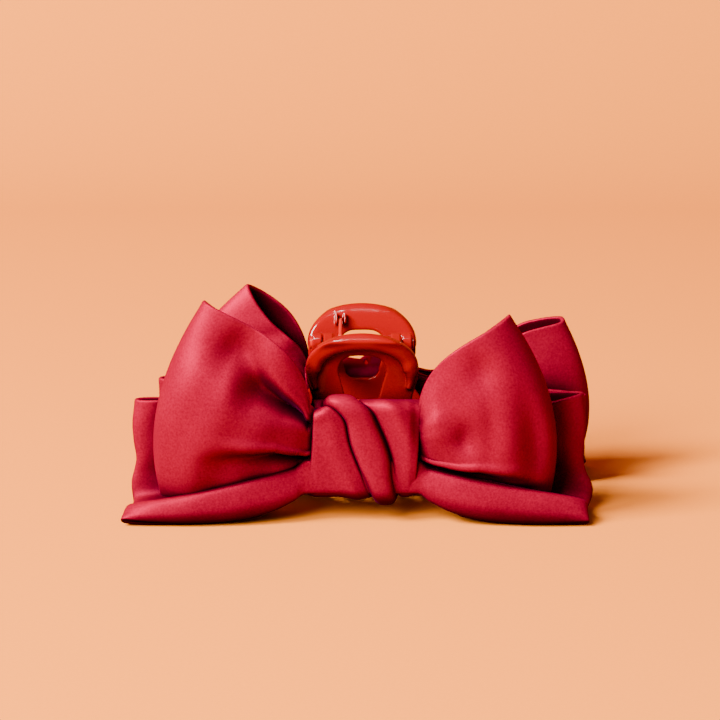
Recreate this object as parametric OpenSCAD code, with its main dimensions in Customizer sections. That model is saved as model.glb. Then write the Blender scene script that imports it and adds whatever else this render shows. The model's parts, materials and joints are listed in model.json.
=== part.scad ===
// Double-sided satin bow claw clip, in millimetres.
// +Z is up, the hinge runs along X, and the front bow faces -Y.
// The origin is on the ground under the middle of the clip, which stands on its lower loops.

/* [Clip] */
// Height of the hinge axis above the ground
hinge_z = 44; // [43:0.5:46]
// Wall thickness of the moulded jaws
jaw_wall = 2.6; // [2.2:0.1:3]
// Half the width of the rounded finger tab
tab_w = 15.4; // [14.6:0.1:16]
// Half the width of the finger window in each tab
window_w = 6.7; // [6:0.1:7.2]
// Thickness of the raised rim around each finger tab
rim_wall = 4.2; // [3.4:0.1:4.6]
// Width of the raised rim, seen from the front
rim_w = 2.2; // [1.6:0.1:3]
// Distance between two neighbouring teeth of one jaw
tooth_pitch = 7.2; // [7:0.1:7.4]
// Width of one tooth
tooth_w = 2.8; // [2.4:0.1:2.9]

/* [Hinge] */
// Radius of the steel hinge pin
pin_r = 1; // [0.8:0.05:1]
// Radial running clearance between the pin and its knuckles
pin_gap = 0.05; // [0.03:0.01:0.09]
// Outer radius of the hinge knuckles
knuckle_r = 2.9; // [2.6:0.1:3]
// Radius of the spring wire
wire_r = 0.6; // [0.5:0.05:0.6]
// Mean radius of the spring coil
coil_r = 1.75; // [1.7:0.05:1.8]
// Turns in the spring coil
coil_turns = 8; // [6:1:8]

/* [Bows] */
// Thickness of the doubled satin
satin = 1; // [0.8:0.1:1]
// Half the width of the knot
knot_x = 15.4; // [14:0.2:16]
// Height of the knot's lower edge
knot_low = 8.8; // [8:0.2:10]
// Height of the knot's upper edge
knot_high = 35.2; // [34:0.2:36]
// Distance from the clip's centre plane to the front of the knot
knot_front = 32; // [31:0.5:33]
// How far an upper loop's front panel bulges
loop_depth = 13; // [10:0.5:14]
// Half the overall length of the object
half_length = 66; // [62:1:70]

/* [Hidden] */
$fn = 48;

claw_red = [0.86, 0.06, 0.03];
steel_red = [0.72, 0.08, 0.05];
satin_red = [0.85, 0.02, 0.13];
lining_red = [0.62, 0.02, 0.09];
felt_red = [0.5, 0.03, 0.07];

// Side profile of a jaw's middle surface: outward distance from the hinge, height from the hinge.
JAW_PROFILE = [
    [22.8, 7.3], [19.9, 4.3], [17.8, 0], [16.9, -6], [17, -12], [17.2, -18],
    [17.2, -24], [15.9, -30], [12.2, -35.4], [6.2, -39.2], [-2.6, -40.6],
];
tip_wall = 1.7;             // wall thickness at the teeth's tips
tab_top = 7.4;              // height of the finger tab's top from the hinge
tab_rise = 10;              // height of the tab's rounded top
waist_w = 13.8;             // half the jaw's width below the tab
window_top = 0.2;           // height of the finger window's top from the hinge
window_low = -13.6;         // height of its lower end
slot_top = -25;             // where the gaps between the teeth begin
jaw_low = -43;              // below the teeth's tips
face_out = 17.2 + jaw_wall / 2;  // outward distance of the jaw's flat mounting face
pad_wall = 1;
front_knuckle = [8, 10.9];  // span of the front jaw's knuckles along X
rear_knuckle = [11.2, 14];  // span of the rear jaw's knuckles along X
leg_x = 6.05;               // where the spring's legs stand along X
LEG_ROUTE = [[0, coil_r], [4, 2], [10, 2.6], [16.9, 3.4]];  // a leg, from the coil outward
guide_wall = 0.8;
head_r = 1.6;
head_wall = 0.5;

wrap = 1.6;                                 // thickness of the knot's wrap
knot_back = face_out + pad_wall;            // distance of the knot's back from the centre plane
pinch_x = 14.6;
pinch_y = 25.7;
panel_gap = 1.95;                            // half the distance between two panels in the knot
UPPER_PINCH = [19, 31.4];                     // height of the upper band inside the knot
LOWER_PINCH = [11.9, 17.6];                 // height of the lower band inside the knot
liner = 0.35;
liner_gap = 0.3;
RINGS = 22;                                 // cross sections around one loop
ROWS = 8;                                   // points across a band
FIRST_ANGLE = 16;                           // a loop's sweep starts this far from the knot's middle

// Upper loops: [side, outer fold's low corner, its control point, its peak, shoulder height].
FRONT_UPPER = [
    [-1, [54.8, 7], [63.7, 32], [42.6, 60.3], 7.6],
    [1, [51.4, 7.8], [58.8, 32], [39.7, 56.5], 4],
];
// Lower loops: [side, end of the foot, x of the outer fold, height of its top edge].
FRONT_LOWER = [[-1, half_length - 0.6, 62.6, 31], [1, half_length - 3.8, 61.2, 32.6]];
// The rear bow is listed as it looks from behind, so its first loop is the one on +X.
REAR_UPPER = [
    [-1, [62.4, 7.5], [69, 25], [57.4, 46], 1.5],
    [1, [54.5, 7.5], [61.5, 32], [32.6, 55.2], 7],
];
REAR_LOWER = [[-1, half_length - 0.6, 63.4, 27], [1, half_length - 3.4, 58.4, 31.4]];

// ---------- shared functions ----------
function clamp(t) = max(0, min(1, t));
function ease(t) = clamp(t) * clamp(t) * (3 - 2 * clamp(t));
function mix(a, b, t) = a + (b - a) * t;
function bezier(a, b, c, t) = mix(mix(a, b, t), mix(b, c, t), t);
function unit(v) = v / max(norm(v), 0.000001);
function spline(p, i, t) =
    let (a = p[max(i - 1, 0)], b = p[i], c = p[i + 1], d = p[min(i + 2, len(p) - 1)])
    0.5 * (2 * b + (c - a) * t + (2 * a - 5 * b + 4 * c - d) * t * t
        + (3 * b - a - 3 * c + d) * t * t * t);
function smooth_line(p, steps) = concat(
    [for (i = [0 : len(p) - 2], k = [0 : steps - 1]) spline(p, i, k / steps)], [p[len(p) - 1]]);
function side_of(line, i) =
    let (d = unit(line[min(i + 1, len(line) - 1)] - line[max(i - 1, 0)])) [-d[1], d[0]];

// Points of an upward half ellipse about [0, base].
function arch(w, h, base) = [for (i = [0 : 36]) [w * cos(5 * i), base + h * sin(5 * i)]];
// One rounded corner of a window, as an arc about c.
function corner(c, r, from) = [for (i = [0 : 6]) c + r * [cos(from + 15 * i), sin(from + 15 * i)]];

module rounded_rect(w, h, r) {
    square([w - 2 * r, h], center = true);
    square([w, h - 2 * r], center = true);
    for (x = [-1, 1], y = [-1, 1]) translate([x * (w / 2 - r), y * (h / 2 - r)]) circle(r);
}

// ---------- claw ----------
// A wall that follows the jaw's profile, extruded along X. Its wall tapers, and grows outward by extra.
module profile_wall(w, wall_start, wall_end, extra) {
    line = smooth_line(JAW_PROFILE, 4);
    last = len(line) - 1;
    half = [for (i = [0 : last]) mix(wall_start, wall_end, i / last) / 2];
    outer = [for (i = [0 : last]) line[i] + side_of(line, i) * (half[i] + extra)];
    inner = [for (i = [last : -1 : 0]) line[i] - side_of(line, i) * half[i]];
    rotate([90, 0, 90]) translate([0, 0, -w / 2]) linear_extrude(w)
        polygon([for (p = concat(outer, inner)) [-p[0], p[1]]]);
}

// Front outline of a jaw: rounded finger tab, waist, shoulders and a row of teeth.
module jaw_outline(half_w, teeth) {
    tab_base = tab_top - tab_rise;
    difference() {
        polygon(concat(arch(tab_w, tab_rise, tab_base),
            [[-tab_w, tab_base - 4], [-waist_w, tab_base - 9], [-waist_w - 0.6, tab_base - 13],
            [-half_w, tab_base - 20], [-half_w, jaw_low], [half_w, jaw_low], [half_w, tab_base - 20],
            [waist_w + 0.6, tab_base - 13], [waist_w, tab_base - 9], [tab_w, tab_base - 4]]));
        polygon(concat(
            corner([window_w - 4.4, window_top - 4.4], 4.4, 0),
            corner([4.4 - window_w, window_top - 4.4], 4.4, 90),
            corner([4.6 - window_w, window_low + 2.8], 2.8, 180),
            corner([window_w - 4.6, window_low + 2.8], 2.8, 270)));
        for (k = [0 : teeth - 2]) {
            x = (k - (teeth - 2) / 2) * tooth_pitch;
            gap = tooth_pitch - tooth_w;
            translate([x, slot_top]) circle(gap / 2);
            translate([x - gap / 2, jaw_low - 1]) square([gap, slot_top - jaw_low + 1]);
        }
    }
}

module rim_outline() {
    tab_base = tab_top - tab_rise;
    inner = arch(tab_w - rim_w, tab_rise - rim_w, tab_base);
    polygon(concat(arch(tab_w, tab_rise, tab_base), [for (i = [36 : -1 : 0]) inner[i]]));
}

module outline_block() { rotate([90, 0, 0]) linear_extrude(120, center = true) children(); }

// Lug from the jaw's wall to one hinge knuckle, and the knuckle itself.
module knuckle(span) {
    translate([span[0], 0, 0]) rotate([90, 0, 90]) {
        linear_extrude(span[1] - span[0])
            polygon([[0, -knuckle_r], [0, knuckle_r], [-17.2, -1.4], [-16.9, -8.5]]);
        cylinder(r = knuckle_r, h = span[1] - span[0]);
    }
}

// Two ribs on the tab's inner face that hold a spring leg in place.
module leg_guide(x) {
    for (side = [-1, 1]) translate([x + side * (wire_r + 0.2 + guide_wall / 2), -16.8, 3.6])
        rotate([26, 0, 0]) cube([guide_wall, 2.6, 3.2], center = true);
}

module jaw(half_w, teeth, span) {
    difference() {
        union() {
            intersection() {
                profile_wall(2 * half_w + 2, jaw_wall, tip_wall, 0);
                outline_block() jaw_outline(half_w, teeth);
            }
            intersection() {
                profile_wall(2 * half_w + 2, jaw_wall, jaw_wall, rim_wall - jaw_wall);
                outline_block() rim_outline();
            }
            knuckle(span);
            knuckle([-span[1], -span[0]]);
            leg_guide(leg_x);
        }
        rotate([0, 90, 0]) cylinder(r = pin_r + pin_gap, h = 60, center = true);
    }
}

module front_jaw() {
    color(claw_red) translate([0, 0, hinge_z]) jaw(2 * tooth_pitch + tooth_w / 2, 5, front_knuckle);
}

module rear_jaw() {
    color(claw_red) translate([0, 0, hinge_z]) rotate([0, 0, 180])
        jaw(2.5 * tooth_pitch + tooth_w / 2, 6, rear_knuckle);
}

// The pin's ends are upset into flat heads.
module hinge_pin() {
    color(steel_red) translate([0, 0, hinge_z]) rotate([0, 90, 0]) {
        cylinder(r = pin_r, h = 2 * (rear_knuckle[1] + pin_gap + head_wall), center = true);
        for (side = [-1, 1]) translate([0, 0, side * (rear_knuckle[1] + pin_gap + head_wall / 2)])
            cylinder(r = head_r, h = head_wall, center = true);
    }
}

// ---------- spring ----------
// A round wire along a list of points.
module wire(points, r, sides) {
    last = len(points) - 1;
    rings = [for (i = [0 : last])
        let (d = unit(points[min(i + 1, last)] - points[max(i - 1, 0)]),
            a = unit(cross(d, [1, 0.2, 0.1])), b = cross(d, a))
        for (k = [0 : sides - 1]) points[i] + r * (a * cos(360 * k / sides) + b * sin(360 * k / sides))];
    walls = [for (i = [0 : last - 1], k = [0 : sides - 1])
        let (a = i * sides + k, b = i * sides + (k + 1) % sides)
        each [[a, b, b + sides], [a, b + sides, a + sides]]];
    polyhedron(rings, concat(walls, [[for (k = [sides - 1 : -1 : 0]) k]],
        [[for (k = [0 : sides - 1]) last * sides + k]]));
}

module spring_coil() {
    steps = 12;
    pitch = (leg_x + leg_x - 2 * wire_r - 0.15) / coil_turns;
    turns = [for (i = [0 : steps * coil_turns - steps / 2])
        let (a = 90 + 360 * i / steps)
        [leg_x - pitch * i / steps, coil_r * cos(a), coil_r * sin(a)]];
    leg = [for (i = [len(LEG_ROUTE) - 1 : -1 : 1]) [leg_x, -LEG_ROUTE[i][0], LEG_ROUTE[i][1]]];
    color(steel_red) translate([0, 0, hinge_z]) wire(concat(leg, turns), wire_r, 8);
}

module spring_rear_leg() {
    color(steel_red) translate([0, 0, hinge_z])
        wire([for (p = LEG_ROUTE) [-leg_x, p[0], p[1]]], wire_r, 8);
}

// ---------- bow ----------
// Front panel (angle under 180) and back panel of an upper loop; v runs from its low to its high edge.
function upper_point(loop, a, v) =
    let (
        s = (1 - cos(a)) / 2,
        low = loop[1], mid = loop[2], peak = loop[3],
        fold = bezier(low, mid, peak, v),
        pinch = [pinch_x, mix(UPPER_PINCH[0], UPPER_PINCH[1], v)],
        drop = [0, 12 * (1 - v) * (s - pow(s, 1.4))],
        face = mix(pinch, fold, s) + drop,
        shoulder = loop[4] * sin(180 * sqrt(max(0, s - 0.09))) * v * v,
        bulge = a < 180 ? 5.5 + (loop_depth - 5.5) * sin(180 * v) : 4.2 + 2 * sin(180 * v),
        centre = mix(pinch_y, 27.2, s) - 1.5 * v * s,
        panel = (a < 180 ? 1 : -1) * panel_gap * (1 - s)
    )
    [loop[0] * face[0], -centre - panel - sin(a) * pow(s, 0.35) * bulge, face[1] + shoulder];

// Cross sections of a lower loop: its foot lies forward on the ground, its back stands up.
function lower_front(v, s, top) =
    let (crest = 7.4 + 9 * pow(1 - s, 2), edge = 2.7 + 7 * pow(1 - s, 3))
    v < 0.16 ? mix([35.6, edge], [33.6, crest], v / 0.16)
    : v < 0.34 ? mix([33.6, crest], [19.8, 4.6 + 4 * (1 - s)], (v - 0.16) / 0.18)
    : mix([19.8, 4.6 + 4 * (1 - s)], [18, top], (v - 0.34) / 0.66);
function lower_back(v, s, top) =
    let (rise = 7 * pow(max(0, 1 - s / 0.6), 2))
    v < 0.34 ? mix([35, rise], [13, rise], v / 0.34)
    : mix([13, rise], [8.5, top], (v - 0.34) / 0.66);

function lower_point(loop, a, v) =
    let (
        s = (1 - cos(a)) / 2,
        top = mix(LOWER_PINCH[1], loop[3], pow(clamp((s - 0.15) / 0.85), 0.75)),
        front = lower_front(v, s, top), back = lower_back(v, s, top),
        share = (1 - sign(sin(a)) * pow(abs(sin(a)), 0.75)) / 2,
        spread = mix(front, back, share),
        pinch = [pinch_y + (a < 180 ? 1 : -1) * panel_gap, mix(LOWER_PINCH[0], LOWER_PINCH[1], v)],
        out = mix(loop[1], loop[2], min(1, v / 0.34)),
        yz = mix(pinch, spread, mix(ease((s - 0.03) / 0.2), ease((s - 0.07) / 0.2), share * share))
    )
    [loop[0] * mix(pinch_x, out, s), -yz[0], yz[1]];

// The closed ring of one band: left loop from front to back, then right loop from back to front.
function sweep_angles() = [for (i = [0 : RINGS]) mix(FIRST_ANGLE, 360 - FIRST_ANGLE, i / RINGS)];
function band_row(loop, upper, a, v0, v1) = [for (j = [0 : ROWS])
    let (v = mix(v0, v1, j / ROWS)) upper ? upper_point(loop, a, v) : lower_point(loop, a, v)];
function band(loops, upper, v0, v1) = concat(
    [for (a = sweep_angles()) band_row(loops[0], upper, a, v0, v1)],
    [for (a = sweep_angles()) band_row(loops[1], upper, 360 - a, v0, v1)]);

// A closed ribbon between two offsets from the band's middle surface, kept above the ground.
module ribbon(rows, from, to) {
    n = len(rows);
    normals = [for (i = [0 : n - 1]) [for (j = [0 : ROWS]) unit(cross(
        rows[(i + 1) % n][j] - rows[(i + n - 1) % n][j],
        rows[i][min(j + 1, ROWS)] - rows[i][max(j - 1, 0)]))]];
    ring = 2 * (ROWS + 1);
    points = [for (i = [0 : n - 1]) each concat(
        [for (j = [0 : ROWS]) rows[i][j] + normals[i][j] * to],
        [for (j = [ROWS : -1 : 0]) rows[i][j] + normals[i][j] * from])];
    faces = [for (i = [0 : n - 1], k = [0 : ring - 1])
        let (a = i * ring + k, b = i * ring + (k + 1) % ring, next = ((i + 1) % n) * ring)
        each [[a, b, next + (k + 1) % ring], [a, next + (k + 1) % ring, next + k]]];
    polyhedron([for (p = points) [p[0], p[1], max(p[2], 0)]], faces);
}

module upper_loops(loops) { color(satin_red) ribbon(band(loops, true, 0, 1), -satin / 2, satin / 2); }
module lower_loops(loops) { color(satin_red) ribbon(band(loops, false, 0, 1), -satin / 2, satin / 2); }
module upper_interfacing(loops) {
    from = satin / 2 + liner_gap;
    color(lining_red) ribbon(band(loops, true, 0.1, 0.92), from, from + liner);
}
module lower_interfacing(loops) {
    from = satin / 2 + liner_gap / 2;
    color(lining_red) ribbon(band(loops, false, 0.56, 0.96), from, from + liner);
}

// A flattened ring around the gathered bands, extruded along X: outer size and wall.
module loop_ring(back, front, low, high, wall, half_w) {
    translate([0, -(back + front) / 2, (low + high) / 2]) rotate([90, 0, 90])
        linear_extrude(2 * half_w, center = true) difference() {
            rounded_rect(front - back, high - low, 3.4);
            rounded_rect(front - back - 2 * wall, high - low - 2 * wall, 3.4 - wall);
        }
}

module knot_wrap() {
    color(satin_red) loop_ring(knot_back, knot_front, knot_low, knot_high, wrap, knot_x);
}

module gather_thread() {
    color(lining_red) loop_ring(knot_back + wrap + 0.4, knot_front - wrap - 0.4,
        knot_low + wrap + 0.4, knot_high - wrap - 0.4, 0.5, 2.5);
}

module felt_pad() {
    color(felt_red) translate([0, -face_out - pad_wall / 2, hinge_z - 20.6]) rotate([90, 0, 0])
        linear_extrude(pad_wall, center = true) rounded_rect(20, 10, 2);
}

front_jaw();
rear_jaw();
hinge_pin();
spring_coil();
spring_rear_leg();
felt_pad();  // front_felt_pad
upper_loops(FRONT_UPPER);  // front_upper_loops
lower_loops(FRONT_LOWER);  // front_lower_loops
upper_interfacing(FRONT_UPPER);  // front_upper_interfacing
lower_interfacing(FRONT_LOWER);  // front_lower_interfacing
gather_thread();  // front_gather_thread
knot_wrap();  // front_knot_wrap
rotate([0, 0, 180]) felt_pad();  // rear_felt_pad
rotate([0, 0, 180]) upper_loops(REAR_UPPER);  // rear_upper_loops
rotate([0, 0, 180]) lower_loops(REAR_LOWER);  // rear_lower_loops
rotate([0, 0, 180]) upper_interfacing(REAR_UPPER);  // rear_upper_interfacing
rotate([0, 0, 180]) lower_interfacing(REAR_LOWER);  // rear_lower_interfacing
rotate([0, 0, 180]) gather_thread();  // rear_gather_thread
rotate([0, 0, 180]) knot_wrap();  // rear_knot_wrap
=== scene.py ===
"""Looks for the satin bow claw clip: cloth, plastic, steel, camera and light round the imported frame.

Shapes are worked out in millimetres, in the frame that the CAD shares: +X along the bow, -Y towards
the viewer, +Z up. A point of the cloth is first given as (x, out, z), where out is how far it stands in
front of the clip's centre plane. The rear bow is shaped like a front one and then turned half a turn
about Z.
"""

import json
import math
from dataclasses import dataclass, field

import bpy
import numpy as np
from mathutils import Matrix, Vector


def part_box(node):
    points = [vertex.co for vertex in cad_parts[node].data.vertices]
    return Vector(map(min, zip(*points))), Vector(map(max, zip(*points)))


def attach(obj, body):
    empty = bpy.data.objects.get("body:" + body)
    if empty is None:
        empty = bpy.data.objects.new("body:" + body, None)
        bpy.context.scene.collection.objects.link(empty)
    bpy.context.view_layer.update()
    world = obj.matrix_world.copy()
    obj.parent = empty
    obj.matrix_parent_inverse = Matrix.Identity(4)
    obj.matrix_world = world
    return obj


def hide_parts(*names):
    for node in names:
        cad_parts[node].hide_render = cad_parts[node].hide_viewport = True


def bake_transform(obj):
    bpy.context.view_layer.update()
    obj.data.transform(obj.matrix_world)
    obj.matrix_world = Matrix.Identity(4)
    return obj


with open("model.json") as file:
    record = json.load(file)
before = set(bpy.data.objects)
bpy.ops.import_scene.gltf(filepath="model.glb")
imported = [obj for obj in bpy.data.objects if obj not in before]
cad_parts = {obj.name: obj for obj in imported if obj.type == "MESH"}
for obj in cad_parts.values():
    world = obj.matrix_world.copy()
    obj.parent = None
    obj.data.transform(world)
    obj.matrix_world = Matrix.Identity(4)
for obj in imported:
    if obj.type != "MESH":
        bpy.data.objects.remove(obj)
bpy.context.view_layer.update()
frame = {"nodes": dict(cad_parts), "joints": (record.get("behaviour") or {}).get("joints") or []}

MM = 0.001
PI = math.pi


def box_mm(node):
    """Lowest and highest corner of a CAD node, in millimetres."""
    low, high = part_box(node)
    return np.array(low) / MM, np.array(high) / MM


HINGE_Z = frame["joints"][0]["pos_m"][2] / MM
KNOT_LOW, KNOT_HIGH = box_mm("front_knot_wrap")

CLOTH = 1.05  # thickness of the doubled satin
LINER = 0.3  # thickness of the interfacing
LINER_GAP = CLOTH / 2 + 0.45  # from the satin's middle surface to the interfacing's
UPPER_BAND = 48.0  # rough width of the upper band's cut
LOWER_BAND = 60.0  # rough width of the lower band's cut
PINCH_X = 14.6  # where the gathers come out of the knot
PINCH_OUT = -(KNOT_LOW[1] + KNOT_HIGH[1]) / 2  # how far the gathers stand out
UPPER_PINCH = (19.0, 31.4)  # lowest and highest gather of the upper band
LOWER_PINCH = (11.9, 17.6)  # the same of the lower band's back panel
PANEL_GAP = 1.95  # half the distance between a band's two panels inside the knot
KNOT_ANGLE = math.radians(13)  # how much of a loop's sweep the knot hides at each end
FOLD_OUT = 27.2  # how far the upper band's outer fold stands out
FRONT_EDGE = 5.5  # how far the front panel's lower edge stands out from the fold
BACK_EDGE = 4.2  # the same of the back panel
TOP_OF_LIP = 0.34  # height v where the lower band's lip has become its upright
LIP_PINCH = [  # the lower band's front panel inside the knot, as (v, out, z)
    (0.0, 30.0, 8.0), (0.07, 30.1, 12.4), (0.15, 29.6, 17.2), (0.24, 28.4, 14.6),
    (0.33, 27.9, 12.6), (0.42, 27.7, 13.4), (1.0, 27.4, 17.0),
]


# ---------------------------------------------------------------- small maths
def mix(a, b, t):
    """From a at 0 to b at 1."""
    return a + (b - a) * t


def ease(t):
    """A smooth step from 0 to 1."""
    t = np.clip(t, 0.0, 1.0)
    return t * t * (3 - 2 * t)


def bump(t, centre, width):
    """A bell of height 1."""
    return np.exp(-(((t - centre) / width) ** 2))


def bezier(a, b, c, t):
    """A quadratic curve from a to c that bends towards b."""
    return mix(mix(a, b, t), mix(b, c, t), t)


def spline(points, t):
    """Catmull-Rom through rows of (place, values...), read at the places t."""
    points = np.array(points, float)
    place = points[:, 0]
    k = np.clip(np.searchsorted(place, t, side="right") - 1, 0, len(place) - 2)
    before, after = np.maximum(k - 1, 0), np.minimum(k + 2, len(place) - 1)
    span = place[k + 1] - place[k]
    h = np.clip((t - place[k]) / span, 0, 1)[..., None]
    p0, p1 = points[k, 1:], points[k + 1, 1:]
    step = span[..., None]
    m0 = (p1 - points[before, 1:]) / (place[k + 1] - place[before])[..., None] * step
    m1 = (points[after, 1:] - p0) / (place[after] - place[k])[..., None] * step
    return (
        (2 * h**3 - 3 * h**2 + 1) * p0
        + (h**3 - 2 * h**2 + h) * m0
        + (3 * h**2 - 2 * h**3) * p1
        + (h**3 - h**2) * m1
    )


def unit(v):
    return v / np.maximum(np.linalg.norm(v, axis=-1, keepdims=True), 1e-9)


# ---------------------------------------------------------------- folds in the cloth
@dataclass
class Valley:
    """A crease out of the knot, which widens and fades outward."""

    line: list  # its route, as (share along the loop, height v)
    depth: float
    width: float
    overhang: bool = False  # the cloth above swells over the crease
    fade_from: float = 0.45  # share of its length where it begins to fade

    def push(self, s, v):
        places, heights = zip(*self.line)
        reach = places[-1]
        line = np.interp(s, places, heights)
        width = self.width * (0.45 + 0.9 * np.clip(s / reach, 0, 1))
        fade = (1 - ease((s / reach - self.fade_from) / (1 - self.fade_from))) * ease(s / 0.05)
        across = (v - line) / width
        if self.overhang:
            step = 1 / (1 + np.exp(np.clip(2.8 * across, -40, 40)))
            swell = 0.2 * np.exp(-((across - 1.2) ** 2))
            return self.depth * fade * (swell - step * np.exp(-np.clip(-across, 0, 40) / 5))
        return -self.depth * fade * np.exp(-across * across)


@dataclass
class Dent:
    """A soft hollow, or with a negative depth a swelling, round one place on the loop."""

    s: float  # share along the loop
    v: float  # height
    s_size: float
    v_size: float
    depth: float
    lean: float = 0.0  # how much s moves for a height v

    def push(self, s, v):
        along = bump(s - self.lean * (v - self.v), self.s, self.s_size)
        return -self.depth * along * bump(v, self.v, self.v_size)


def wrinkles(s, v, strength, seed):
    """Gathers that run out of the knot and fade, and long soft waves over the rest."""
    r = np.random.default_rng(seed)
    total = np.zeros(np.broadcast(s, v).shape)
    for k in range(5):
        line = 0.12 + 0.19 * k + r.uniform(-0.05, 0.05)
        tilt = r.uniform(-0.1, 0.1)
        total += r.uniform(-1.0, 1.0) * bump(v, line + tilt * s, 0.05 + 0.06 * s) * np.exp(-s / 0.22)
    for k in range(6):
        along, across, phase = r.uniform(2, 7), r.uniform(1.5, 5), r.uniform(0, 2 * PI)
        total += 0.16 * np.sin(along * PI * s + across * PI * v + phase) * ease(s * 3)
    return strength * total


# ---------------------------------------------------------------- upper loops
@dataclass
class UpperLoop:
    """One open loop of the upper band: two panels from the knot to an outer fold."""

    side: int  # -1 left, 1 right
    low: tuple  # the outer fold's lower end, as (x, z)
    mid: tuple  # what the fold bends towards
    peak: tuple  # its upper end
    shoulder: float  # how far the top edge arches up between the knot and the fold
    depth: float = 13.0  # how far the front panel bulges
    front_edge: float = FRONT_EDGE  # how far the front panel's top edge stands out
    back_edge: float = BACK_EDGE
    roundness: float = 1.0  # under 1 makes the mouth squarer
    fullness: float = 0.9  # under 1 carries the bulge nearer to the edges
    mouth: float = 0.35  # how late the loop opens out of the knot
    pinch_x: float = PINCH_X
    crown: list = None  # the top edge's own arch, as (share along the loop, rise)
    back_drop: float = 3.0  # how far the back panel's top edge sinks
    drop_power: float = 0.7
    sag: float = 28.0  # how far the lower edge sags beside the knot
    front: list = field(default_factory=list)  # creases and dents of the front panel
    back: list = field(default_factory=list)
    seed: int = 1

    def surface(self, angle, v):
        """Points (x, out, z) for sweep angles, from the front panel at the knot over the outer fold, which
        is at pi, to the back panel, and for heights v."""
        s = (1 - np.cos(angle)) / 2
        on_front = ease((np.sin(angle) + 0.15) / 0.3)
        fold_x = bezier(self.low[0], self.mid[0], self.peak[0], v)
        fold_z = bezier(self.low[1], self.mid[1], self.peak[1], v)
        x = mix(self.pinch_x, fold_x, s)
        z = mix(mix(*UPPER_PINCH, v), fold_z, s) - self.sag * (1 - v) ** 2 * (s - s**1.4)
        crown = self.shoulder * np.sin(PI * np.sqrt(np.clip(s - 0.06, 0, 1)))
        if self.crown:
            crown = spline(self.crown, s)[..., 0]
        z = z + crown * v * v
        z = z - self.back_drop * (1 - on_front) * v**3 * np.sin(PI * np.clip(s, 0, 1)) ** self.drop_power
        edge = mix(FRONT_EDGE, self.front_edge, v * v)
        front_bulge = edge + (self.depth - edge) * np.sin(PI * v) ** self.fullness
        back_bulge = mix(BACK_EDGE, self.back_edge, v * v) + 2 * np.sin(PI * v)
        bulge = mix(back_bulge, front_bulge, on_front)
        swing = np.sign(np.sin(angle)) * np.abs(np.sin(angle)) ** self.roundness
        out = mix(PINCH_OUT, FOLD_OUT, s) - 1.5 * v * s
        out = out + np.where(angle < PI, 1, -1) * PANEL_GAP * (1 - s) + swing * s**self.mouth * bulge
        push = sum((f.push(s, v) for f in self.front), 0.0) + wrinkles(s, v, 0.55, self.seed)
        pull = sum((f.push(s, v) for f in self.back), 0.0) + wrinkles(s, v, 0.5, self.seed + 50)
        out = out + push * ease(np.sin(angle) * 3) - pull * ease(-np.sin(angle) * 3)
        return np.stack(np.broadcast_arrays(self.side * x, out, z), axis=-1)


# ---------------------------------------------------------------- lower loops
def back_section(s):
    """A lower loop's back panel in cross section, as rows of (v, out, z): flat on the ground, then up."""
    near = np.clip(1 - s / 0.6, 0, 1)
    rise = 7 * near**2
    return [
        (0.0, 34.3 - 5.2 * (1 - s) ** 3, 0.6 + 7.4 * (1 - s) ** 4.2),
        (0.1, 28.0, 0.55 + rise),
        (0.24, 18.0, 0.6 + rise),
        (0.33, 13.2, 1.6 + rise),
        (0.42, 11.6, 7.0 + rise),
        (0.60, 10.8, None),
        (1.0, 8.8, None),
    ]


def read_section(rows, top, v):
    """Reads a cross section at the heights v; rows without a height share the way up to the top."""
    start_v, _, start_z = [row for row in rows if row[2] is not None][-1]
    filled = []
    for height, out, z in rows:
        if z is None:
            z = mix(start_z, top, (height - start_v) / (1 - start_v))
        filled.append((height, out, z))
    return spline(filled, v)


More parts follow.
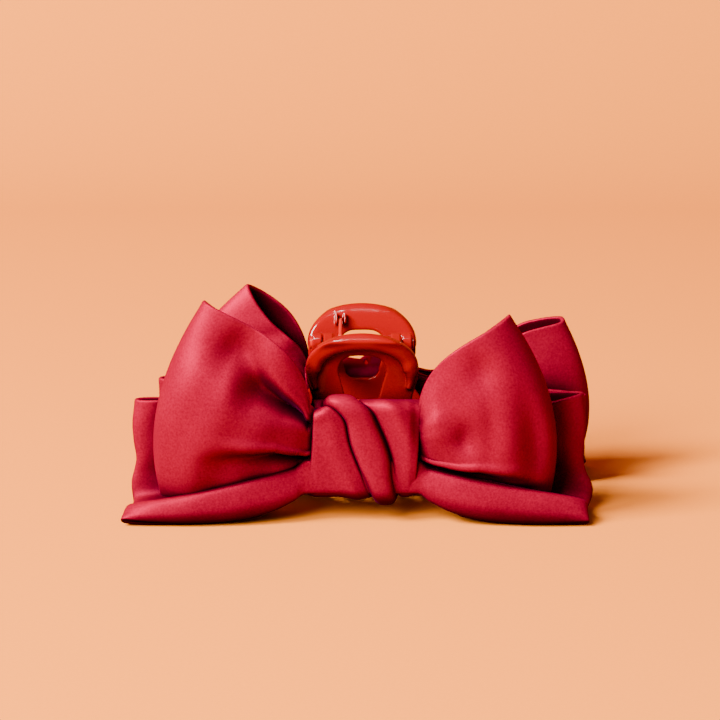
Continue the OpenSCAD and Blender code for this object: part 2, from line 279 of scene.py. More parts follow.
@dataclass
class LowerLoop:
    """One loop of the lower band: its lower part lies forward as a lip, its upper part stands up behind."""

    side: int  # -1 left, 1 right
    foot: float  # x of the outer fold at the lip
    fold: float  # x of the outer fold at the upright
    top: float  # height of the upright
    crest: float = 6.8  # height of the lip's crest
    rise: float = 1.2  # how far the top edge arches between the knot and the fold
    lift: float = 0.0  # how far the lip's outer corner stands off the ground
    outline: list = field(default_factory=lambda: [(0, 0), (1, 0)])  # the fold's waves, as (v, x)
    seed: int = 1

    def front_section(self, s):
        """Cross section of the front panel, as rows of (v, out, z): lip edge, crest, trough, upright."""
        near = np.clip(1 - s, 0, 1)
        edge_z = 1.0 + self.lift * s**6 + 7.2 * near**4.5
        crest_z = self.crest + (17.4 - self.crest) * near**1.75
        edge_out = 35.4 - 5.2 * near**3
        return [
            (0.0, edge_out, edge_z),
            (0.07, edge_out + 0.5, mix(edge_z, crest_z, 0.42)),
            (0.15, edge_out - 1.6, crest_z),
            (0.24, 28.6 - near**3, 4.8 + 3.4 * near),
            (0.33, 20.8 + 4 * near**3, 4.6 + 4.0 * near),
            (0.42, 18.4 + 6 * near**3, 9.5 + 3.0 * near),
            (0.60, 18.6, None),
            (1.0, 17.4, None),
        ]

    def surface(self, angle, v):
        """Points (x, out, z) for sweep angles and heights v, as on an upper loop."""
        points = np.zeros((angle.shape[0], v.shape[1], 3))
        for i, a in enumerate(angle[:, 0]):
            s = (1 - math.cos(a)) / 2
            top = mix(LOWER_PINCH[1], self.top, ease((s - 0.1) / 0.65)) + self.rise * math.sin(PI * s)
            back_top = top - (0.8 + self.rise) * math.sin(PI * s)
            front = read_section(self.front_section(s), top, v[0])
            back = read_section(back_section(s), back_top, v[0])
            share = (1 - np.sign(math.sin(a)) * abs(math.sin(a)) ** 0.75) / 2
            spread = mix(front, back, share)
            pinch = spline(LIP_PINCH, v[0])
            if a > PI:
                pinch_out = np.full(v.shape[1], PINCH_OUT - PANEL_GAP)
                pinch = np.stack([pinch_out, mix(*LOWER_PINCH, v[0])], axis=-1)
            lip = (1 - ease((v[0] - 0.15) / 0.2)) * (1 - share)
            opened = mix(ease((s - 0.03) / 0.2), ease((s - 0.07) / 0.2), share * share)
            opened = mix(opened, ease(s / 0.08), lip)
            out_z = mix(pinch, spread, opened[:, None])
            reach = mix(self.foot, self.fold, ease(v[0] / TOP_OF_LIP)) + spline(self.outline, v[0])[..., 0]
            points[i, :, 0] = self.side * mix(PINCH_X, reach, s)
            points[i, :, 1:] = out_z
        s = (1 - np.cos(angle)) / 2
        points[..., 1] += wrinkles(s, v, 0.4, self.seed) * ease(np.sin(angle) * 3)
        return points


FRONT_UPPER = [
    UpperLoop(
        -1, (54.8, 7.0), (62.2, 32.0), (42.6, 60.3), 8.8, pinch_x=12.9, seed=3,
        front=[
            Valley(
                [(0, 0.64), (0.1, 0.635), (0.2, 0.645), (0.38, 0.7), (0.62, 0.74)],
                6.6, 0.11, fade_from=0.6,
            ),
            Valley(
                [(0, 0.02), (0.1, 0.15), (0.25, 0.25), (0.5, 0.27), (0.8, 0.25)],
                6.4, 0.05, overhang=True,
            ),
            Dent(0.6, 0.86, 0.18, 0.12, 4.9),
            Dent(0.25, 0.97, 0.14, 0.08, -1.2),
        ],
    ),
    UpperLoop(
        1, (51.4, 7.8), (57.6, 32.0), (39.7, 56.5), 7.0, seed=8, front_edge=8.5, fullness=0.6,
        front=[
            Valley(
                [(0, 0.0), (0.2, 0.08), (0.46, 0.13), (0.7, 0.12), (1.0, 0.06)],
                5.4, 0.035, overhang=True,
            ),
            Valley([(0, -0.05), (0.3, 0.0), (0.8, 0.04), (1.1, 0.04)], 1.8, 0.025),
            Dent(0.13, 0.5, 0.1, 0.24, -2.4),
            Dent(0.54, 0.42, 0.08, 0.22, 1.4, lean=0.1),
            Dent(0.36, 0.38, 0.09, 0.13, 2.6),
            Dent(0.58, 0.82, 0.14, 0.11, 2.0),
            Dent(0.84, 0.35, 0.10, 0.3, 2.4),
        ],
    ),
]
FRONT_LOWER = [
    LowerLoop(
        -1, 65.4, 62.6, 31.0, lift=1.6, seed=12,
        outline=[(0, 0), (0.3, 0.4), (0.4, 1.2), (0.5, 0.3), (0.58, -0.2), (0.7, 0.5), (0.84, 0.8), (1, 0)],
    ),
    LowerLoop(
        1, 61.6, 61.0, 32.9, crest=8.6, rise=-4.0, lift=0.6, seed=14,
        outline=[(0, 0), (0.2, 0.3), (0.3, 1.8), (0.38, 2.9), (0.46, 1.2), (0.56, 0.2), (0.8, 0.8), (1, 0)],
    ),
]
REAR_UPPER = [
    UpperLoop(
        -1, (63.6, 7.0), (69.7, 24.0), (57.8, 46.0), 0.0, seed=21,
        front_edge=8.0, back_edge=5.0, roundness=0.6, mouth=1.1, back_drop=1.0, drop_power=0.25,
        crown=[(0, 0), (0.15, -3.4), (0.35, -3.4), (0.55, -1.2), (0.72, 1.2), (0.86, 1.0), (1, 0)],
        front=[
            Valley([(0, 0.5), (0.7, 0.6)], 3.5, 0.08),
            Valley([(0, 0.03), (0.2, 0.2), (0.8, 0.2)], 2.5, 0.04, overhang=True),
        ],
        back=[Valley([(0, 0.55), (0.7, 0.62)], 1.5, 0.07)],
    ),
    UpperLoop(
        1, (54.5, 7.5), (61.5, 32.0), (32.6, 55.2), 7.0, seed=25, back_drop=6.0,
        front=[
            Valley([(0, 0.58), (0.2, 0.7), (0.6, 0.74)], 4.0, 0.1),
            Valley([(0, 0.03), (0.2, 0.2), (0.8, 0.2)], 2.5, 0.04, overhang=True),
        ],
        back=[Dent(0.6, 0.8, 0.15, 0.2, 1.0)],
    ),
]
REAR_LOWER = [
    LowerLoop(-1, 65.4, 63.6, 26.5, lift=0.8, seed=31),
    LowerLoop(1, 62.6, 57.6, 31.4, lift=1.2, seed=34),
]


# ---------------------------------------------------------------- meshes
def make_object(name, points, faces, material, uvs=None):
    """A smooth mesh object from points in millimetres and faces of point numbers."""
    mesh = bpy.data.meshes.new(name)
    mesh.from_pydata((np.asarray(points) * MM).tolist(), [], [list(map(int, f)) for f in faces])
    if uvs is not None:
        layer = mesh.uv_layers.new(name="UVMap")
        loops = np.array([c for f in faces for c in f])
        layer.data.foreach_set("uv", np.asarray(uvs)[loops].astype(np.float32).ravel())
    mesh.polygons.foreach_set("use_smooth", [True] * len(mesh.polygons))
    mesh.materials.append(material)
    mesh.update()
    made = bpy.data.objects.new(name, mesh)
    bpy.context.collection.objects.link(made)
    return made


def edge_heights(width, thickness, inner):
    """Heights v across a band, with extra columns near both edges so that they come out round."""
    near = np.array([0.0, 0.08, 0.3, 0.65, 1.1]) * thickness / 2 / width
    return np.concatenate([near, np.linspace(near[-1] * 2.2, 1 - near[-1] * 2.2, inner), 1 - near[::-1]])


def shell(name, mid, thickness, material, flip=False, puff=0.0, inset=0.0):
    """A closed ring of cloth about a grid of middle points, whose rows run across it, with rounded edges.

    flip is for a ring whose rows go the other way round, puff thickens the edges as a hem does, and inset
    moves the cloth towards the inside of the ring.
    """
    n, m = mid.shape[:2]
    along = np.roll(mid, -1, 0) - np.roll(mid, 1, 0)
    across = np.gradient(mid, axis=1)
    normal = unit(np.cross(along, across)) * (-1 if flip else 1)
    mid = mid + normal * inset
    arc = np.concatenate([[0], np.cumsum(np.linalg.norm(np.diff(mid[n // 4], axis=0), axis=-1))])
    edge = np.minimum(arc, arc[-1] - arc)
    half = thickness / 2 * np.sqrt(np.clip(1 - (1 - np.clip(edge / (thickness / 2), 0, 1)) ** 2, 0, 1))
    half = half * (1 + puff * np.exp(-((edge / (1.6 * thickness)) ** 2)))
    offset = normal * half[None, :, None]
    outer, inner = mid + offset, mid - offset
    ring = 2 * m - 2
    points = np.concatenate([outer, inner[:, -2:0:-1]], axis=1).reshape(-1, 3)
    run = np.concatenate([[0], np.cumsum(np.linalg.norm(np.diff(mid[:, m // 2], axis=0), axis=-1))])
    around = np.concatenate([arc, arc[-1] + arc[1:-1]])
    uvs = np.stack(np.broadcast_arrays(run[:, None], around[None, :]), axis=-1).reshape(-1, 2) / 10
    i, k = np.meshgrid(np.arange(n), np.arange(ring), indexing="ij")
    j, q = (i + 1) % n, (k + 1) % ring
    faces = np.stack([i * ring + k, j * ring + k, j * ring + q, i * ring + q], axis=-1).reshape(-1, 4)
    if flip:
        faces = faces[:, ::-1]
    return make_object(name, points, faces, material, uvs)


def band_grid(loops, v, stations):
    """Middle points of the closed band that makes a left and a right loop."""
    angle = np.linspace(KNOT_ANGLE, 2 * PI - KNOT_ANGLE, stations)[:, None]
    left = loops[0].surface(angle, v[None, :])
    right = loops[1].surface(2 * PI - angle, v[None, :])
    grid = np.concatenate([left, right], axis=0)
    grid[..., 1] *= -1
    return grid


def keep_above_ground(obj):
    """Cloth that would sink into the ground lies flat on it instead."""
    gap = 0.02
    for vertex in obj.data.vertices:
        vertex.co.z = max(vertex.co.z, gap * MM)


def turn_round(obj):
    """Half a turn about Z, which puts a front piece on the rear jaw."""
    for vertex in obj.data.vertices:
        vertex.co.x, vertex.co.y = -vertex.co.x, -vertex.co.y


# ---------------------------------------------------------------- knot wrap
def ring_point(u, low_out, high_out, low_z, high_z, radius):
    """Place and outward direction, as (out, z), at the share u round a rounded rectangle.

    It starts at the middle of the underside and goes up the front.
    """
    w, h = high_out - low_out, high_z - low_z
    straight = [w / 2 - radius, h - 2 * radius, w - 2 * radius, h - 2 * radius, w / 2 - radius]
    quarter = PI * radius / 2
    corners = [  # centre of each corner, and the direction in degrees where its arc starts
        (high_out - radius, low_z + radius, -90),
        (high_out - radius, high_z - radius, 0),
        (low_out + radius, high_z - radius, 90),
        (low_out + radius, low_z + radius, 180),
    ]
    left = u * (sum(straight) + 4 * quarter)
    p, way = np.array([(low_out + high_out) / 2, low_z]), np.array([1.0, 0.0])
    for length, (out, z, start) in zip(straight, corners):
        if left <= length:
            break
        left -= length
        turn = math.radians(start + 90 * min(left / quarter, 1.0))
        direction = np.array([math.cos(turn), math.sin(turn)])
        p = np.array([out, z]) + radius * direction
        if left <= quarter:
            return p, direction
        left -= quarter
        way = np.array([-direction[1], direction[0]])
    return p + way * left, np.array([way[1], -way[0]])


FOLD_LEFT = [  # the rolled fold's left edge, as (z, x)
    (5.0, 3.8), (12.1, 1.1), (16.6, -0.8), (21.6, -2.7), (25.2, -3.5),
    (27.7, -3.9), (29.7, -4.8), (32.2, -7.0), (34.0, -9.6), (37.0, -12.0),
]
FOLD_RIGHT = [  # its right edge
    (5.0, 9.6), (12.7, 8.0), (17.7, 7.5), (22.7, 6.0), (27.1, 4.1),
    (30.8, 2.4), (32.7, 0.9), (34.9, -1.8), (37.0, -6.0),
]
KNOT_CORNER = 4.2  # radius of the wrap's corners, seen from the side
KNOT_HALF = 15.0  # half the wrap's width


def knot_relief(x, z):
    """How far the wrap stands out at x and z: a rolled fold runs down over two flatter ones."""
    left = spline(FOLD_LEFT, z)[..., 0]
    right = spline(FOLD_RIGHT, z)[..., 0]
    t = (x - (left + right) / 2) / ((right - left) / 2)
    roll = 2.3 * np.clip(1 - np.abs(t) ** 2.6, 0, 1) ** 0.6
    tuck_left = -1.3 * np.exp(-(((x - left + 0.3) / 0.5) ** 2))
    tuck_right = -1.7 * np.exp(-(((x - right - 0.4) / 0.6) ** 2))
    right_panel = 2.0 * np.exp(-(((x - right - 7.0) / 3.4) ** 2))
    right_panel = right_panel * ease((z - 8) / 12) * ease((36.5 - z) / 5)
    left_panel = 0.8 * np.exp(-(((x - left + 4.6) / 2.8) ** 2))
    edges = -0.6 * ease((np.abs(x) - 12.4) / 2.6)
    return roll + tuck_left + tuck_right + right_panel + left_panel + edges - 0.9


def knot_wrap(name):
    """The satin strip round the bow's middle, as one closed ring."""
    count = 320
    x_share = edge_heights(2 * KNOT_HIGH[0], 1.6, 110)
    rows = []
    low_out, high_out = -KNOT_HIGH[1] + 0.5, -KNOT_LOW[1] - 0.9
    low_z, high_z = KNOT_LOW[2] - 3.4, KNOT_HIGH[2] - 0.3
    for i in range(count):
        base, direction = ring_point(i / count, low_out, high_out, low_z, high_z, KNOT_CORNER)
        depth = np.clip((base[0] - low_out) / (high_out - low_out), 0, 1)
        front = ease(depth * 1.6 - 0.3)
        up = np.clip((base[1] - low_z) / (high_z - low_z), 0, 1)
        x = mix(-KNOT_HALF, KNOT_HALF, x_share) * (1 - 0.025 * math.sin(PI * up)) + mix(-0.2, 1.7, up)
        stand = knot_relief(x, np.full_like(x, base[1])) * front
        top_dip = -2.8 * ease((-x - 8.5) / 5.0) * ease((up - 0.55) / 0.45) * front
        out = base[0] + direction[0] * stand
        sag = 3.0 * (1 - depth) * (2 * up - 1)
        z = base[1] + direction[1] * stand + top_dip - sag
        rows.append(np.stack([x, -out, z], axis=-1))
    return shell(name, np.array(rows), 1.0, SATIN, flip=True)


def thread_ring(name):
    """The gathering thread, wound flat round the bands under the knot."""
    count, half_width, thickness, radius, inside = 96, 2.3, 0.5, 2.6, 2.2
    low_out, high_out = -KNOT_HIGH[1] + inside, -KNOT_LOW[1] - inside
    low_z, high_z = KNOT_LOW[2] + inside, KNOT_HIGH[2] - inside
    x = mix(-half_width, half_width, edge_heights(2 * half_width, thickness, 12))
    rows = []
    for i in range(count):
        base, _ = ring_point(i / count, low_out, high_out, low_z, high_z, radius)
        rows.append(np.stack([x, np.full_like(x, -base[0]), np.full_like(x, base[1])], axis=-1))
    return shell(name, np.array(rows), thickness, THREAD, flip=True)


def stacked_faces(rings, sides):
    """Faces of a solid made of rings of points, with a flat end on the first and the last ring."""
    faces = [
        (r * sides + k, r * sides + (k + 1) % sides, (r + 1) * sides + (k + 1) % sides, (r + 1) * sides + k)
        for r in range(rings - 1)
        for k in range(sides)
    ]
    return faces + [tuple(range(sides))[::-1], tuple((rings - 1) * sides + k for k in range(sides))]


def felt_pad(name):
    """The pad between the jaw's flat face and the knot, shaped for the front bow."""
    low, high = box_mm("front_felt_pad")
    corner, count = 2.0, 64
    x_half, z_half = (high[0] - low[0]) / 2 - corner, (high[2] - low[2]) / 2 - corner
    middle = (low + high) / 2
    turn = np.linspace(0, 2 * PI, count, endpoint=False)
    cos, sin = np.cos(turn), np.sin(turn)
    outline = np.stack([np.sign(cos) * x_half + corner * cos, np.sign(sin) * z_half + corner * sin], -1)
    rings = []
    for depth, shrink in ((low[1], 0.94), (low[1] + 0.25, 1.0), (high[1] - 0.25, 1.0), (high[1], 0.94)):
        x, z = (outline * shrink).T
        rings.append(np.stack([middle[0] + x, np.full(count, depth), middle[2] + z], axis=-1))
    points = np.concatenate(rings)
    return make_object(name, points, [f[::-1] for f in stacked_faces(len(rings), count)], FELT)


# ---------------------------------------------------------------- tubes
def tube(name, path, radius, sides, material):
    """A round wire along a path, closed by rounded ends."""
    path = np.asarray(path, float)
    radius = np.broadcast_to(radius, len(path))
    direction = unit(np.gradient(path, axis=0))
    side = unit(np.cross(direction, [0.3, 0.2, 1.0]))
    for i in range(1, len(path)):
        side[i] = unit(side[i - 1] - direction[i] * np.dot(side[i - 1], direction[i]))
    up = np.cross(direction, side)
    turn = np.linspace(0, 2 * PI, sides, endpoint=False)
    circle = np.cos(turn)[None, :, None] * side[:, None] + np.sin(turn)[None, :, None] * up[:, None]
    rings = [path[0] + circle[0] * radius[0] * 0.6 - direction[0] * radius[0] * 0.35]
    rings += [path[i] + circle[i] * radius[i] for i in range(len(path))]
    rings += [path[-1] + circle[-1] * radius[-1] * 0.6 + direction[-1] * radius[-1] * 0.35]
    return make_object(name, np.concatenate(rings), stacked_faces(len(rings), sides), material)


# ---------------------------------------------------------------- materials
def new_material(name):
    """A material with its nodes, its links and its shader."""
    material = bpy.data.materials.new(name)
    material.use_nodes = True
    nodes = material.node_tree.nodes
    return material, nodes, material.node_tree.links, nodes["Principled BSDF"]


def texture(nodes, links, kind, place, **settings):
    """A texture node fed with a place, with its inputs and properties set by name."""
    node = nodes.new(kind)
    links.new(place, node.inputs["Vector"])
    for key, value in settings.items():
        if key in node.inputs:
            node.inputs[key].default_value = value
        else:
            setattr(node, key, value)
    return node


def ramp(nodes, links, factor, stops):
    """A colour ramp with the given (position, colour) stops."""
    node = nodes.new("ShaderNodeValToRGB")
    links.new(factor, node.inputs["Fac"])
    while len(node.color_ramp.elements) < len(stops):
        node.color_ramp.elements.new(0.5)
    for element, (position, colour) in zip(node.color_ramp.elements, stops):
        element.position = position
        element.color = (*colour, 1)
    return node


def paint_fold_shade(nodes, links, colour, distance, stops):
    """Painted shade: the colour darkened through an ambient occlusion ramp where the surface lies in a fold
    or a hollow.
    """
    hollow = nodes.new("ShaderNodeAmbientOcclusion")
    hollow.samples = 8
    hollow.inputs["Distance"].default_value = distance
    # the ramp turns occlusion into painted shade: near black deep in a fold, the plain colour in the open
    folds = ramp(nodes, links, hollow.outputs["AO"], [(place, (tone,) * 3) for place, tone in stops])
    shade = nodes.new("ShaderNodeMixRGB")
    shade.blend_type = "MULTIPLY"
    shade.inputs["Fac"].default_value = 1.0
    links.new(colour, shade.inputs["Color1"])
    links.new(folds.outputs["Color"], shade.inputs["Color2"])
    return shade.outputs["Color"]


def satin_material(name, body, deep, sheen):
    """Doubled satin: fine diagonal weave, soft grain, a directional highlight, a pink sheen and painted
    shade deep in its folds.
    """
    material, nodes, links, shader = new_material(name)
    place = nodes.new("ShaderNodeUVMap")
    place.uv_map = "UVMap"
    solid = nodes.new("ShaderNodeTexCoord")
    weave = texture(
        nodes, links, "ShaderNodeTexWave", place.outputs["UV"],
        Scale=14.0, Distortion=1.2, Detail=2.0, bands_direction="DIAGONAL",
    )
    weave.inputs["Detail Scale"].default_value = 3.0
    grain = texture(nodes, links, "ShaderNodeTexNoise", solid.outputs["Object"], Scale=1800.0, Detail=4.0)
    cloud = texture(nodes, links, "ShaderNodeTexNoise", solid.outputs["Object"], Scale=70.0, Detail=4.0)
    tone = ramp(nodes, links, cloud.outputs["Fac"], [(0.3, deep), (0.7, body)])
    speck = nodes.new("ShaderNodeMixRGB")
    speck.blend_type = "SOFT_LIGHT"
    speck.inputs["Fac"].default_value = 0.6
    links.new(tone.outputs["Color"], speck.inputs["Color1"])
    links.new(grain.outputs["Fac"], speck.inputs["Color2"])
    # painted shade: the satin's base colour is darkened in its folds, nearly to black deep inside them
    fold_shaded_colour = paint_fold_shade(nodes, links, speck.outputs["Color"], 0.016, [(0.32, 0.02), (0.64, 0.36), (0.88, 1)])
    links.new(fold_shaded_colour, shader.inputs["Base Color"])
    rough = nodes.new("ShaderNodeMapRange")
    rough.inputs["To Min"].default_value = 0.38
    rough.inputs["To Max"].default_value = 0.56
    links.new(grain.outputs["Fac"], rough.inputs["Value"])
    links.new(rough.outputs["Result"], shader.inputs["Roughness"])
    height = nodes.new("ShaderNodeMath")
    height.operation = "ADD"
    links.new(weave.outputs["Fac"], height.inputs[0])
    links.new(grain.outputs["Fac"], height.inputs[1])
    relief = nodes.new("ShaderNodeBump")
    relief.inputs["Strength"].default_value = 0.25
    relief.inputs["Distance"].default_value = 0.00006
    links.new(height.outputs["Value"], relief.inputs["Height"])
    links.new(relief.outputs["Normal"], shader.inputs["Normal"])
    tangent = nodes.new("ShaderNodeTangent")
    tangent.direction_type = "UV_MAP"
    tangent.uv_map = "UVMap"
    links.new(tangent.outputs["Tangent"], shader.inputs["Tangent"])
    shader.inputs["Anisotropic"].default_value = 0.4
    shader.inputs["Metallic"].default_value = 0.35
    shader.inputs["Specular IOR Level"].default_value = 0.15
    shader.inputs["Specular Tint"].default_value = (1.0, 0.0, 0.4, 1)
    shader.inputs["Sheen Weight"].default_value = 0.06
    shader.inputs["Sheen Roughness"].default_value = 0.35
    shader.inputs["Sheen Tint"].default_value = (*sheen, 1)
    return material


def plastic_material(name, body, deep):
    """Glossy moulded plastic with a faint flow tone, fine scuffs, a clear top and painted shade in its
    hollows.
    """
    material, nodes, links, shader = new_material(name)
    solid = nodes.new("ShaderNodeTexCoord")
    cloud = texture(nodes, links, "ShaderNodeTexNoise", solid.outputs["Object"], Scale=45.0, Detail=3.0)
    tone = ramp(nodes, links, cloud.outputs["Fac"], [(0.3, deep), (0.72, body)])
    # painted shade: the plastic's base colour is darkened where the claw lies under the bows and between its
    # parts
    fold_shaded_colour = paint_fold_shade(nodes, links, tone.outputs["Color"], 0.02, [(0.28, 0.04), (0.48, 0.6), (0.72, 1)])
    links.new(fold_shaded_colour, shader.inputs["Base Color"])
    scuff = texture(nodes, links, "ShaderNodeTexNoise", solid.outputs["Object"], Scale=900.0, Detail=5.0)
    rough = nodes.new("ShaderNodeMapRange")
    rough.inputs["To Min"].default_value = 0.12
    rough.inputs["To Max"].default_value = 0.2
    links.new(scuff.outputs["Fac"], rough.inputs["Value"])
    links.new(rough.outputs["Result"], shader.inputs["Roughness"])
    relief = nodes.new("ShaderNodeBump")
    relief.inputs["Strength"].default_value = 0.08
    relief.inputs["Distance"].default_value = 0.0002
    links.new(cloud.outputs["Fac"], relief.inputs["Height"])
    links.new(relief.outputs["Normal"], shader.inputs["Normal"])
    shader.inputs["Specular IOR Level"].default_value = 0.2
    shader.inputs["Coat Weight"].default_value = 0.5
    shader.inputs["Coat Roughness"].default_value = 0.02
    shader.inputs["Subsurface Weight"].default_value = 0.04
    shader.inputs["Subsurface Radius"].default_value = (0.004, 0.0006, 0.0004)
    return material


def painted_steel_material(name, body, worn):
    """Red paint on steel, rubbed through a little."""
    material, nodes, links, shader = new_material(name)
    solid = nodes.new("ShaderNodeTexCoord")
    wear = texture(nodes, links, "ShaderNodeTexNoise", solid.outputs["Object"], Scale=1400.0, Detail=6.0)
    mask = ramp(nodes, links, wear.outputs["Fac"], [(0.66, (0, 0, 0)), (0.74, (1, 1, 1))])
    tone = nodes.new("ShaderNodeMixRGB")
    tone.inputs["Color1"].default_value = (*body, 1)
    tone.inputs["Color2"].default_value = (*worn, 1)
    links.new(mask.outputs["Color"], tone.inputs["Fac"])
    links.new(tone.outputs["Color"], shader.inputs["Base Color"])
    links.new(mask.outputs["Color"], shader.inputs["Metallic"])
    shader.inputs["Roughness"].default_value = 0.28
    shader.inputs["Coat Weight"].default_value = 0.3
    return material


def matt_cloth_material(name, body, deep, scale, strength):
    """Felt, lining or thread: fibres without a highlight."""
    material, nodes, links, shader = new_material(name)
    solid = nodes.new("ShaderNodeTexCoord")
    fibre = texture(nodes, links, "ShaderNodeTexNoise", solid.outputs["Object"], Scale=scale, Detail=8.0)
    tone = ramp(nodes, links, fibre.outputs["Fac"], [(0.3, deep), (0.7, body)])
    links.new(tone.outputs["Color"], shader.inputs["Base Color"])
    relief = nodes.new("ShaderNodeBump")
    relief.inputs["Strength"].default_value = strength
    relief.inputs["Distance"].default_value = 0.0002
    links.new(fibre.outputs["Fac"], relief.inputs["Height"])
    links.new(relief.outputs["Normal"], shader.inputs["Normal"])
    shader.inputs["Roughness"].default_value = 0.9
    shader.inputs["Specular IOR Level"].default_value = 0.1
    return material


SATIN = satin_material("satin_red", (0.285, 0.0, 0.026), (0.24, 0.0, 0.022), (1.0, 0.0, 0.35))
PLASTIC = plastic_material("claw_plastic_red", (0.25, 0.0, 0.002), (0.23, 0.0, 0.001))
STEEL = painted_steel_material("spring_paint_red", (0.50, 0.008, 0.004), (0.45, 0.3, 0.3))
LINING = matt_cloth_material("lining_red", (0.20, 0.001, 0.012), (0.15, 0.001, 0.009), 1500.0, 0.4)
THREAD = matt_cloth_material("thread_red", (0.5, 0.004, 0.02), (0.36, 0.003, 0.014), 2200.0, 0.7)
FELT = matt_cloth_material("felt_red", (0.33, 0.006, 0.02), (0.22, 0.004, 0.012), 1100.0, 0.9)


# ---------------------------------------------------------------- pieces of one bow
def dress(obj, body, node):
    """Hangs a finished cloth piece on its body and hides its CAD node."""
    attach(obj, body)
    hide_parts(node)


def make_bow(side, upper, lower):
    """The seven cloth pieces of one bow, on its own jaw."""
    body = side + "_half"
    stations = 190
    columns = 84
    made = {}
    v = edge_heights(UPPER_BAND, CLOTH, columns)
    made["upper_loops"] = shell(side + "_bow_upper", band_grid(upper, v, stations), CLOTH, SATIN, puff=0.25)
    v = edge_heights(LOWER_BAND, CLOTH, columns)
    made["lower_loops"] = shell(side + "_bow_lower", band_grid(lower, v, stations), CLOTH, SATIN, puff=0.25)
    made["knot_wrap"] = knot_wrap(side + "_bow_knot")
    upper_liner = band_grid(upper, np.linspace(0.1, 0.86, columns // 2), stations // 2)
    made["upper_interfacing"] = shell(side + "_liner_upper", upper_liner, LINER, LINING, inset=LINER_GAP)
    lower_liner = band_grid(lower, np.linspace(0.56, 0.94, columns // 2), stations // 2)
    made["lower_interfacing"] = shell(side + "_liner_lower", lower_liner, LINER, LINING, inset=LINER_GAP)
    made["gather_thread"] = thread_ring(side + "_thread")
    made["felt_pad"] = felt_pad(side + "_felt")
    for obj in made.values():
        if side == "rear":
            turn_round(obj)
        keep_above_ground(obj)
    dress(made["upper_loops"], body, side + "_upper_loops")
    dress(made["lower_loops"], body, side + "_lower_loops")
    dress(made["knot_wrap"], body, side + "_knot_wrap")
    dress(made["upper_interfacing"], body, side + "_upper_interfacing")
    dress(made["lower_interfacing"], body, side + "_lower_interfacing")
    dress(made["gather_thread"], body, side + "_gather_thread")
    dress(made["felt_pad"], body, side + "_felt_pad")


# ---------------------------------------------------------------- claw
PROFILE = [  # a jaw's middle surface: outward distance and height from the hinge
    (22.8, 7.3), (19.9, 4.3), (17.8, 0.0), (16.9, -6.0), (17.0, -12.0), (17.2, -18.0),
]


def tab_bead():
    """The rolled edge round the front jaw's finger tab, which thins out down both sides.

    The rear jaw's is the same one, turned.
    """
    turn = np.linspace(0, PI, 61)
    _, high = box_mm("front_jaw")
    half_w, rise, inside, below = 15.4, 10.2, 2.1, 2.3
    thin, thick = 0.9, 2.4
    spring_line = high[2] - HINGE_Z - 0.2 - rise
    across = (half_w - inside) * np.cos(turn)
    arch = np.stack([across, spring_line + (rise - below) * np.sin(turn)], axis=-1)
    down = np.linspace(0, 1, 14)[1:]
    lean = 0.9 * down - 1.6 * down**2
    side = np.stack([half_w - 1.8 + lean, spring_line - 6.0 * down], axis=-1)
    line = np.concatenate([side[::-1], arch, side * [-1, 1]])
    outs, heights = zip(*PROFILE[::-1])
    out = np.interp(line[:, 1], heights, outs) + 1.3
    path = np.stack([line[:, 0], -out, line[:, 1] + HINGE_Z], axis=-1)
    ends = np.minimum(np.arange(len(path)), np.arange(len(path))[::-1]) / 16
    return tube("bead", path, mix(thin, thick, ease(ends)), 14, PLASTIC)


def apply_modifiers(obj):
    """Bakes an object's modifiers into its mesh."""
    evaluated = obj.evaluated_get(bpy.context.evaluated_depsgraph_get())
    obj.data = bpy.data.meshes.new_from_object(evaluated)
    obj.modifiers.clear()


def round_tab(obj):
    """Rounds the finger tab's rim and window further than the rest, but not the ribs on its inner face."""
    tab_out, rib_out, rib_x, rib_reach = 13.0, 20.0, 6.1, 2.6
    group = obj.vertex_groups.new(name="tab")
    co = np.zeros(len(obj.data.vertices) * 3)
    obj.data.vertices.foreach_get("co", co)
    x, out, up = np.abs(co.reshape(-1, 3).T / MM)
    tab = ease((out - tab_out) / 2.0) * ease((up - HINGE_Z + 3.0) / 4.0)
    near_rib = ease((rib_reach - np.abs(x - rib_x)) / 0.8) * ease(rib_out - out) * ease((up - HINGE_Z) / 1.5)
    weight = np.round(tab * (1 - near_rib), 2)
    for value in np.unique(weight[weight > 0]):
        group.add(np.flatnonzero(weight == value).tolist(), float(value), "REPLACE")
    smooth = obj.modifiers.new("round", "SMOOTH")
    smooth.factor = 0.5
    smooth.iterations = 110
    smooth.vertex_group = "tab"
    apply_modifiers(obj)


def make_jaw(side):
    """The CAD solid and its bead melted together, with its edges rounded as moulding leaves them."""
    source = frame["nodes"][side + "_jaw"]
    obj = bpy.data.objects.new(side + "_claw", source.data.copy())
    bpy.context.collection.objects.link(obj)
    obj.data.materials.clear()
    obj.data.materials.append(PLASTIC)
    bead = tab_bead()
    if side == "rear":
        turn_round(bead)
    with bpy.context.temp_override(active_object=obj, object=obj, selected_editable_objects=[obj, bead]):
        bpy.ops.object.join()
    remesh = obj.modifiers.new("remesh", "REMESH")
    remesh.mode = "VOXEL"
    remesh.voxel_size = 0.24 * MM
    smooth = obj.modifiers.new("smooth", "SMOOTH")
    smooth.factor = 0.5
    smooth.iterations = 12
    apply_modifiers(obj)
    round_tab(obj)
    obj.data.polygons.foreach_set("use_smooth", [True] * len(obj.data.polygons))
    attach(obj, side + "_half")
    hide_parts(side + "_jaw")


def paint_cad(node, material):
    """Leaves a hard CAD solid as it is, in its own material."""
    mesh = frame["nodes"][node].data
    mesh.materials.clear()
    mesh.materials.append(material)


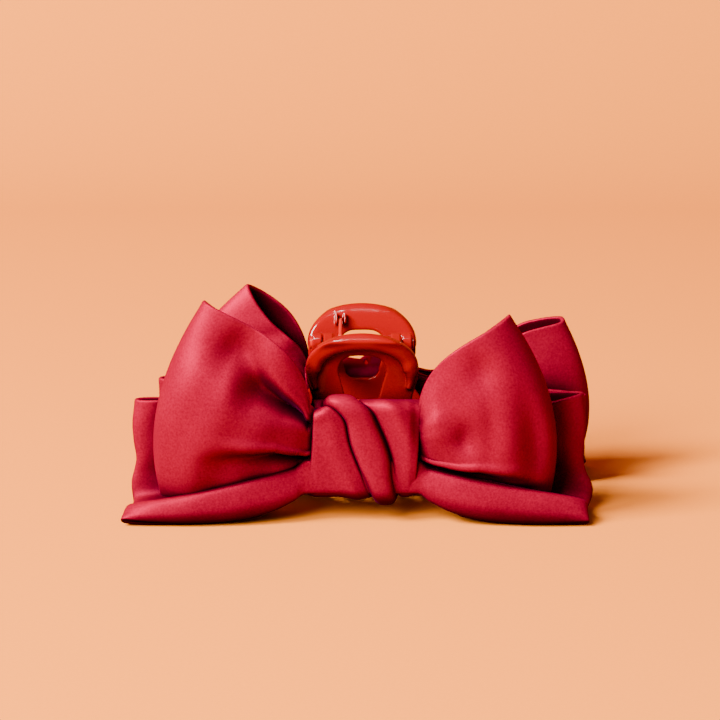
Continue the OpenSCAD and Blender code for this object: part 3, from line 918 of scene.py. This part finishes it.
def make_spring():
    """One wire, which stays still: front leg, coil round the pin, rear leg. The real coil winds up as the
    claw opens.
    """
    leg_x, coil_r, wire_r, turns, blend_x = 6.05, 1.75, 0.6, 8, 5.4
    route = [(0.0, coil_r), (4.0, 2.0), (10.0, 2.6), (16.9, 3.4)]  # a leg, as (out, height over the pin)
    leg = spline([(p[0], p[0], p[1]) for p in route], np.linspace(route[-1][0], 1.2, 26))
    front_leg = [(leg_x, -p[0], p[1]) for p in leg]
    a = np.linspace(0, 2 * PI * turns, 28 * turns)
    coil = np.stack([mix(leg_x, -leg_x, a / a[-1]), -coil_r * np.sin(a), coil_r * np.cos(a)], axis=-1)
    rear_leg = [(-leg_x, p[0], p[1]) for p in leg[::-1]]
    path = np.concatenate([front_leg, coil, rear_leg]) + [0, 0, HINGE_Z]
    spring = tube("claw_spring", path, wire_r, 12, STEEL)
    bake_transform(spring)
    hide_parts("spring_coil", "spring_rear_leg")


# ---------------------------------------------------------------- stage
DAYLIGHT = (1.0, 0.86, 0.72)


def make_floor():
    """Pale paper that curves up behind the object. It throws back a deeper red tone than the camera sees,
    which paints deeper shade on the object's lower and far sides and reddens the floor's reflection in the
    glossy plastic.
    """
    material, nodes, links, shader = new_material("peach_paper")
    solid = nodes.new("ShaderNodeTexCoord")
    fibre = texture(nodes, links, "ShaderNodeTexNoise", solid.outputs["Object"], Scale=900.0, Detail=6.0)
    light, dark = (0.93, 0.295, 0.030), (0.90, 0.280, 0.026)
    tone = ramp(nodes, links, fibre.outputs["Fac"], [(0.25, dark), (0.75, light)])
    # painted shade and reflection: rays that bounce off the paper see this deep red instead of the peach
    ray = nodes.new("ShaderNodeLightPath")
    darkened_bounce = nodes.new("ShaderNodeMixRGB")
    darkened_bounce.inputs["Color1"].default_value = (0.26, 0.02, 0.004, 1)
    links.new(ray.outputs["Is Camera Ray"], darkened_bounce.inputs["Fac"])
    links.new(tone.outputs["Color"], darkened_bounce.inputs["Color2"])
    links.new(darkened_bounce.outputs["Color"], shader.inputs["Base Color"])
    shader.inputs["Roughness"].default_value = 0.9
    shader.inputs["Specular IOR Level"].default_value = 0.1
    half_width, front, rear, height, radius = 3000, -2200, 900, 1500, 400
    bend = rear - radius
    profile = [(front, 0.0), (bend, 0.0)]
    for t in np.linspace(0.1, PI / 2, 16):
        profile.append((bend + radius * math.sin(t), radius - radius * math.cos(t)))
    profile.append((rear, height))
    points = [(x, y, z) for y, z in profile for x in (-half_width, half_width)]
    faces = [(2 * k, 2 * k + 1, 2 * k + 3, 2 * k + 2) for k in range(len(profile) - 1)]
    make_object("paper_floor", points, faces, material)


def make_camera():
    """A long lens 0.9 m away, a little above the object."""
    elevation, distance, target = math.radians(12.0), 900.0, np.array([-0.56, 0.0, 39.2])
    back = np.array([0.0, -math.cos(elevation), math.sin(elevation)])
    data = bpy.data.cameras.new("camera")
    data.sensor_width = 36
    data.lens = 159.75
    data.clip_start, data.clip_end = 0.05, 20
    camera = bpy.data.objects.new("camera", data)
    camera.location = (target + back * distance) * MM
    camera.rotation_mode = "QUATERNION"
    camera.rotation_quaternion = Vector(-back).to_track_quat("-Z", "Y")
    bpy.context.collection.objects.link(camera)
    bpy.context.scene.camera = camera


def area_light(name, direction, distance, size, power, colour):
    """A square lamp, distance metres away in a direction, that points at the object."""
    lamp = bpy.data.lights.new(name, "AREA")
    lamp.energy, lamp.size, lamp.color = power, size, colour
    obj = bpy.data.objects.new(name, lamp)
    way = Vector(direction).normalized()
    obj.location = way * distance + Vector((0, 0, 0.03))
    obj.rotation_mode = "QUATERNION"
    obj.rotation_quaternion = (-way).to_track_quat("-Z", "Y")
    bpy.context.collection.objects.link(obj)
    return obj


def make_lights():
    """A key light from the left, three small lamps for glints on the plastic, a soft front light."""
    area_light("key_light", (-0.66, -0.36, 0.62), 2.4, 0.9, 198.0, DAYLIGHT)
    for k, way in enumerate([(-0.08, -0.35, 0.93), (-0.16, -0.15, 0.95), (-0.24, 0.1, 0.97)]):
        spark = area_light(f"spark_light_{k}", way, 1.0, 0.08, 2.5, (1.0, 0.9, 0.8))
        spark.visible_diffuse = False
    front = area_light("front_light", (-0.43, -0.77, 0.48), 2.4, 1.0, 130.0, DAYLIGHT)
    front.visible_glossy = False
    world = bpy.data.worlds.new("room")
    world.use_nodes = True
    room = world.node_tree.nodes["Background"]
    room.inputs["Color"].default_value = (1.0, 0.8, 0.62, 1)
    room.inputs["Strength"].default_value = 0.12
    bpy.context.scene.world = world


make_bow("front", FRONT_UPPER, FRONT_LOWER)
make_bow("rear", REAR_UPPER, REAR_LOWER)
for jaw_side in ("front", "rear"):
    make_jaw(jaw_side)
paint_cad("hinge_pin", STEEL)
make_spring()
make_floor()
make_camera()
make_lights()
